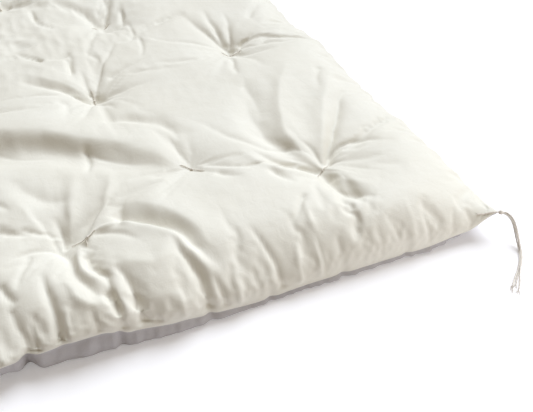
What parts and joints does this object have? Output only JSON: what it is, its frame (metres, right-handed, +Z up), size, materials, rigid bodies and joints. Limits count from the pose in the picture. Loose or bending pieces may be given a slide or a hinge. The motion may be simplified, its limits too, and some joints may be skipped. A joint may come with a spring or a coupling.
{
  "type": "tufted baby futon, lying flat",
  "caption": "Flat rectangular cotton futon for a baby, soft and filled, with tied tufts, folds and gathers over its upper face and a thread tassel at each corner.",
  "frame": {"origin": "on the floor under the middle of the futon", "axes": "+Z up, +Y along the length, +X across the width; the pictured corner is at +X, -Y"},
  "size_m": [0.745, 1.4124, 0.0778],
  "materials": {
    "cotton_sateen": "undyed ivory cotton sateen with a soft sheen, the underside panel slightly greyer",
    "cotton_thread": "matt undyed twisted cotton thread"
  },
  "bodies": {
    "root": {"futon_body": "cotton_sateen", "tuft_tie_1": "cotton_thread", "tuft_tie_2": "cotton_thread", "tuft_tie_3": "cotton_thread", "tuft_tie_4": "cotton_thread", "tuft_tie_5": "cotton_thread", "tuft_tie_6": "cotton_thread", "tuft_tie_7": "cotton_thread", "tuft_tie_8": "cotton_thread", "tuft_tie_9": "cotton_thread", "corner_tassel_1": "cotton_thread", "corner_tassel_2": "cotton_thread", "corner_tassel_3": "cotton_thread", "corner_tassel_4": "cotton_thread"}
  },
  "joints": []
}
